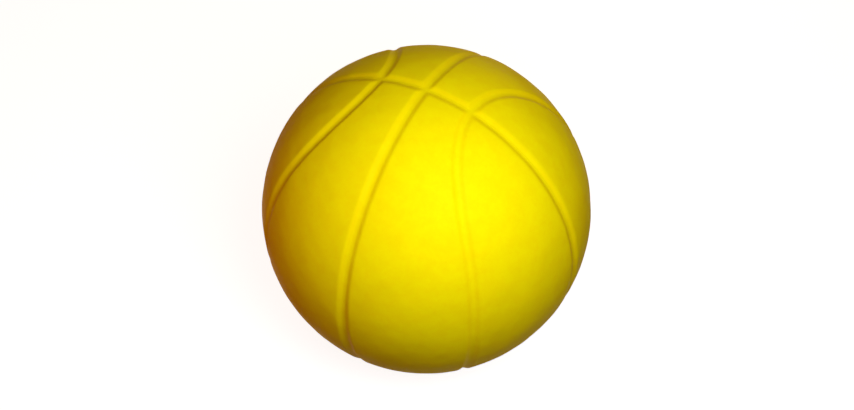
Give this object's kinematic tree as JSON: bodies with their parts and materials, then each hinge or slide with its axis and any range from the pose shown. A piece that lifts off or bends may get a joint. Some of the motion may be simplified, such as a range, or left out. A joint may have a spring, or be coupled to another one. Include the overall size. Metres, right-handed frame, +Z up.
{
  "type": "foam basketball",
  "caption": "Small soft foam ball for a mini hoop, with a thin smooth skin and the recessed channels of a basketball, and a slightly flattened spot to rest on.",
  "frame": {"origin": "the middle of the ball", "axes": "+Z goes up through the crossing of the two round channels and the ball rests on the crossing below, +Y points away from the front, the parting channel lies in the XZ plane, the middle channel in the YZ plane, and the side channels go round +X and -X"},
  "size_m": [0.0998, 0.0998, 0.0993],
  "materials": {
    "foam": "open cells, matt",
    "skin": "smooth, soft satin"
  },
  "bodies": {
    "root": {"foam_core": "foam", "skin_front_half": "skin", "skin_back_half": "skin"}
  },
  "joints": []
}
